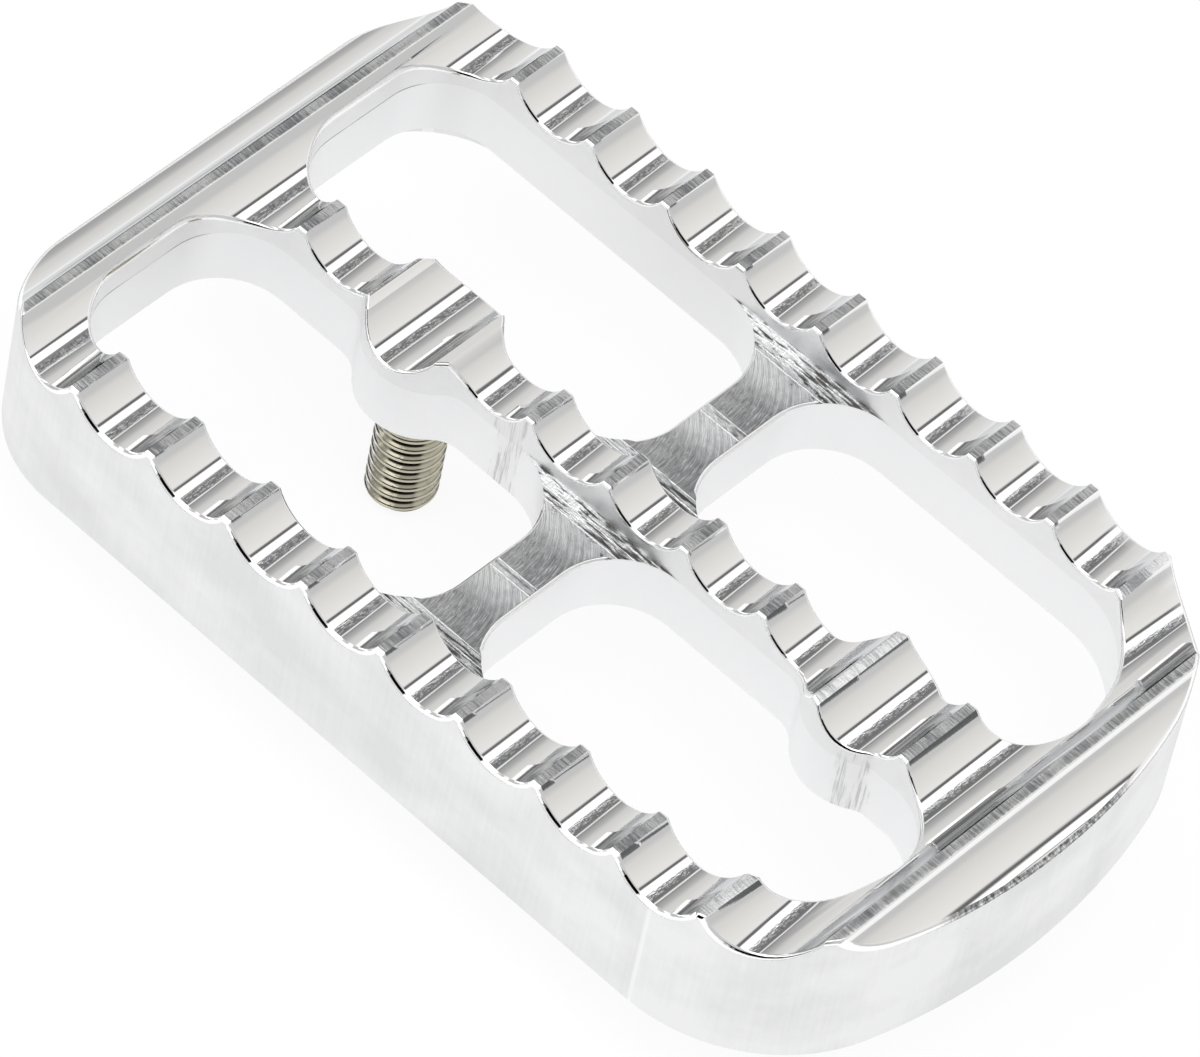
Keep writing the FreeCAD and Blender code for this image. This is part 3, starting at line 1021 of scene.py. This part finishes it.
@dataclass
class MountingStud:
    """The stud's coarse thread, cut as a helix, with a rounded tip."""

    node: str = "mounting_stud"
    radius: float = THREAD_RADIUS * MM
    root_radius: float = THREAD_ROOT_RADIUS * MM
    thread_pitch: float = THREAD_PITCH * MM
    crest_share: float = 0.16
    root_share: float = 0.10
    run_out: float = 1.5
    facets: int = 64
    merge_distance: float = 0.001 * MM
    crease: float = math.radians(28)
    clear_of_crests: float = 0.15 * MM
    spare_length: float = 0.3 * MM
    tip_length: float = 1.4 * MM
    tip_segments: int = 6
    tip_profile: float = 0.42
    tip_band: float = 0.1 * MM
    finish: PlatedSteel = field(default_factory=PlatedSteel)

    def build(self) -> bpy.types.Object:
        """Wind the thread and trim it to the stud's length and tapered tip.

        Returns:
            The finished stud.
        """
        low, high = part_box(self.node)
        turns = math.ceil((high.z - low.z) / self.thread_pitch + 2 * self.run_out)
        stud = self._thread(low.z - self.run_out * self.thread_pitch, turns)

        # Cut a little long, so that the bar trims both ends and no two flat faces coincide
        self._cut(stud, high.z + self.spare_length, upper=True)
        self._cut(stud, low.z - self.spare_length, upper=False)
        blank = self._blank(low.z, high.z)
        Modelling.apply(stud, "BOOLEAN", operation="INTERSECT", object=blank, solver="EXACT")
        bpy.data.objects.remove(blank)
        Modelling.only(stud)
        bpy.ops.object.shade_smooth_by_angle(angle=self.crease)
        log.info("stud: %d turns of thread, %d faces", turns, len(stud.data.polygons))
        return stud

    def _thread(self, start: float, turns: int) -> bpy.types.Object:
        """Wind one pitch of the thread's profile into a helix.

        Args:
            start: The height of the first turn.
            turns: How many turns to wind.

        Returns:
            The open helix.
        """
        flank = (1 - self.crest_share - self.root_share) / 2
        heights = [0.0, self.root_share, self.root_share + flank, 1 - flank, 1.0]
        radii = [self.root_radius, self.root_radius, self.radius, self.radius, self.root_radius]
        points = [(r, 0.0, start + h * self.thread_pitch) for r, h in zip(radii, heights)]
        mesh = bpy.data.meshes.new("thread")
        mesh.from_pydata(points, [(i, i + 1) for i in range(len(points) - 1)], [])
        stud = bpy.data.objects.new("threaded_stud", mesh)
        bpy.context.scene.collection.objects.link(stud)
        Modelling.apply(
            stud, "SCREW", axis="Z", angle=2 * math.pi, screw_offset=self.thread_pitch,
            iterations=turns, steps=self.facets, render_steps=self.facets,
            use_merge_vertices=True, merge_threshold=self.merge_distance,
        )
        return stud

    def _cut(self, stud: bpy.types.Object, height: float, upper: bool) -> None:
        """Cut the stud square and cap it.

        Args:
            stud: The thread, which is changed.
            height: Where to cut.
            upper: Whether the part above the cut goes, or the part below it.
        """
        Modelling.only(stud)
        bpy.ops.object.mode_set(mode="EDIT")
        bpy.ops.mesh.select_all(action="SELECT")
        bpy.ops.mesh.remove_doubles(threshold=self.merge_distance)
        bpy.ops.mesh.bisect(
            plane_co=(0, 0, height), plane_no=(0, 0, 1), use_fill=True,
            clear_outer=upper, clear_inner=not upper,
        )
        bpy.ops.mesh.select_all(action="SELECT")
        bpy.ops.mesh.normals_make_consistent(inside=False)
        bpy.ops.object.mode_set(mode="OBJECT")

    def _blank(self, low: float, high: float) -> bpy.types.Object:
        """A round bar with the stud's rounded tip.

        Args:
            low: The tip's height.
            high: The upper end's height.

        Returns:
            The bar that the thread is trimmed to.
        """
        bpy.ops.object.select_all(action="DESELECT")
        length = high - low
        bpy.ops.mesh.primitive_cylinder_add(
            vertices=self.facets, radius=self.radius + self.clear_of_crests, depth=length,
            location=(0, 0, low + length / 2),
        )
        blank = bpy.context.object
        bpy.ops.object.transform_apply(location=True, rotation=True, scale=True)

        # The edge round the bar's lower end is the one that is rounded
        below = low + self.tip_band
        for vertex in blank.data.vertices:
            vertex.select = vertex.co.z < below
        for edge in blank.data.edges:
            edge.select = all(blank.data.vertices[index].co.z < below for index in edge.vertices)
        for face in blank.data.polygons:
            face.select = face.center.z < below
        bpy.ops.object.mode_set(mode="EDIT")
        bpy.ops.mesh.select_mode(type="EDGE")
        bpy.ops.mesh.bevel(
            offset=self.tip_length, segments=self.tip_segments, profile=self.tip_profile,
            affect="EDGES", offset_type="OFFSET", clamp_overlap=False,
        )
        bpy.ops.object.mode_set(mode="OBJECT")
        return blank

    def dress(self, stud: bpy.types.Object) -> None:
        """Give the stud its finish and its place on the body.

        Args:
            stud: The finished stud.
        """
        Modelling.dress(stud, self.finish.make())
        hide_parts(self.node)
        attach(stud, "root")


@dataclass(frozen=True)
class Light:
    """One soft lamp."""

    name: str
    place: tuple[float, float, float]
    size: float
    power: float


@dataclass
class Studio:
    """The pale floor, the soft light and the camera at the photograph's angle."""

    focus: Vector = field(default_factory=lambda: Vector((22.133, -2.118, 4.0)) * MM)
    distance: float = 903.194 * MM
    azimuth: float = math.radians(-55.993)
    elevation: float = math.radians(50.626)
    roll: float = math.radians(12.518)
    lens: float = 329.81
    sensor: float = 36.0
    nearest: float = 0.05
    floor_half: float = 4.0
    floor_gap: float = 0.02 * MM
    floor_colour: float = 0.90
    floor_glow: float = 0.80
    floor_white: float = 0.90

    # The world's zones, by the Y of a direction, and the dark stand by its turn in degrees too
    backdrop: float = 0.90
    backdrop_zone: Step = (0.60, 0.72)
    front_zone: Step = (0.36, 0.26)
    near_white: float = 1.15
    near_zone: Step = (-0.55, -0.62)
    stand_dark: float = 0.004
    stand_zone: Step = (-0.54, -0.58)
    stand_turn: Band = (-4.0, 46.0, 1.5)

    # The greys of its white walls and dark bars, by the angle about Y in degrees from straight up
    overhead: Stops = (
        (-180, grey(0.60)),
        (-130, grey(0.75)),
        (-96, grey(0.85)),
        (-90, grey(0.80)),
        (-70, grey(0.72, 0.01)),
        (-54, grey(0.65, 0.01)),
        (-44, grey(0.45)),
        (-36, grey(0.36)),
        (-32, grey(0.24)),
        (-31, grey(0.95)),
        (-29, grey(0.95)),
        (-28, grey(0.20)),
        (-22, grey(0.17)),
        (-12, grey(0.24)),
        (-8, grey(0.26)),
        (-6, grey(1.30)),
        (8, grey(1.30)),
        (10, grey(0.12)),
        (14, grey(0.14)),
        (17, grey(0.84, 0.01)),
        (40, grey(0.78, 0.012)),
        (68, grey(0.70, 0.015)),
        (80, grey(0.58)),
        (100, grey(0.60)),
        (180, grey(0.80)),
    )
    front: Stops = (
        (-180, grey(0.50)),
        (-60, grey(0.48)),
        (-58, grey(1.60)),
        (-51, grey(1.60)),
        (-49, grey(0.50)),
        (-36, grey(0.55)),
        (-30, grey(1.20)),
        (-18, grey(1.70)),
        (5, grey(1.70)),
        (9, grey(0.62)),
        (35, grey(0.58)),
        (180, grey(0.50)),
    )

    def build(self) -> None:
        """Set the floor, the world, the lamps and the camera."""
        self._floor()
        self._world()
        self._lamps()
        self._camera()
        bpy.context.scene.view_settings.view_transform = "Standard"

    def _floor(self) -> None:
        """Lay a white floor under the stud's tip."""
        low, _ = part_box("mounting_stud")
        bpy.ops.object.select_all(action="DESELECT")
        height = low.z - self.floor_gap
        bpy.ops.mesh.primitive_plane_add(size=2 * self.floor_half, location=(0, 0, height))
        floor = bpy.context.object
        floor.name = "floor"
        bpy.ops.object.transform_apply(location=True, rotation=True, scale=True)
        material = bpy.data.materials.new("white_floor")
        graph = Graph(material)
        mirrored = graph.light_path("Is Glossy Ray") * self.floor_glow
        seen = mirrored.at_least(graph.light_path("Is Camera Ray") * self.floor_white)
        matt = graph.add("ShaderNodeBsdfDiffuse", {}, grey(self.floor_colour))
        glow = graph.add("ShaderNodeEmission", {}, grey(1.0), 1.0)
        mixed = graph.add("ShaderNodeMixShader", {}, seen, matt, glow)
        graph.end("ShaderNodeOutputMaterial", mixed)
        Modelling.dress(floor, material)

    def _world(self) -> None:
        """Surround the part with a white studio, dark bars overhead and a dark camera stand in front."""
        world = bpy.data.worlds.new("studio")
        bpy.context.scene.world = world
        graph = Graph(world)
        x, y, z = graph.parts(graph.add("ShaderNodeTexCoord", {}, out="Generated"))
        turn = x.angle_from(z) * IN_DEGREES
        overhead = self._bands(graph, turn, self.overhead)
        front = self._bands(graph, turn, self.front)
        walled = graph.colour(overhead, grey(self.backdrop), y.rise(*self.backdrop_zone))
        walled = graph.colour(walled, front, y.rise(*self.front_zone))
        walled = graph.colour(walled, grey(self.near_white), y.rise(*self.near_zone))
        aside = x.angle_from(y * -1.0) * IN_DEGREES
        stand = y.rise(*self.stand_zone) * aside.within(*self.stand_turn)
        walled = graph.colour(walled, grey(self.stand_dark), stand)
        seen = graph.colour(walled, grey(1.0), graph.light_path("Is Camera Ray"))
        background = graph.add("ShaderNodeBackground", {}, seen, 1.0)
        graph.end("ShaderNodeOutputWorld", background)

    def _bands(self, graph: Graph, turn: Socket, stops: Stops) -> Socket:
        """Colour the studio by the angle about Y, in degrees from straight up."""
        ramp = tuple(((angle + 180) / 360, colour) for angle, colour in stops)
        return graph.add("ShaderNodeValToRGB", {"stops": ramp}, (turn + 180) / 360)

    def _lamps(self) -> None:
        """Hang two soft lamps above the part."""
        lights = (
            Light("key", place=(0.35, -0.25, 0.75), size=0.5, power=3.0),
            Light("fill", place=(-0.55, -0.45, 0.45), size=0.6, power=2.0),
        )
        for light in lights:
            lamp = bpy.data.lights.new(light.name, "AREA")
            lamp.size = light.size
            lamp.energy = light.power
            lamp.use_shadow = True
            holder = bpy.data.objects.new(light.name, lamp)
            holder.visible_glossy = False
            bpy.context.scene.collection.objects.link(holder)
            holder.location = light.place
            towards = self.focus - Vector(light.place)
            holder.rotation_euler = towards.to_track_quat("-Z", "Y").to_euler()

    def _camera(self) -> None:
        """Stand the camera where the photograph was taken from."""
        away = Vector((
            math.cos(self.elevation) * math.cos(self.azimuth),
            math.cos(self.elevation) * math.sin(self.azimuth),
            math.sin(self.elevation),
        ))
        camera = bpy.data.cameras.new("photo_view")
        camera.lens = self.lens
        camera.sensor_width = self.sensor
        camera.clip_start = self.nearest
        holder = bpy.data.objects.new("photo_view", camera)
        bpy.context.scene.collection.objects.link(holder)
        level = away.to_track_quat("Z", "Y").to_matrix().to_4x4()
        turned = level @ Matrix.Rotation(self.roll, 4, "Z")
        holder.matrix_world = Matrix.Translation(self.focus + away * self.distance) @ turned
        bpy.context.scene.camera = holder


def main() -> None:
    """Load the frame, build the pieces and set the studio."""
    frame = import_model()
    cover = PedalCover()
    cover.place(cover.build(frame["nodes"][cover.node]))
    stud = MountingStud()
    stud.dress(stud.build())
    Studio().build()


if __name__ == "__main__":
    main()
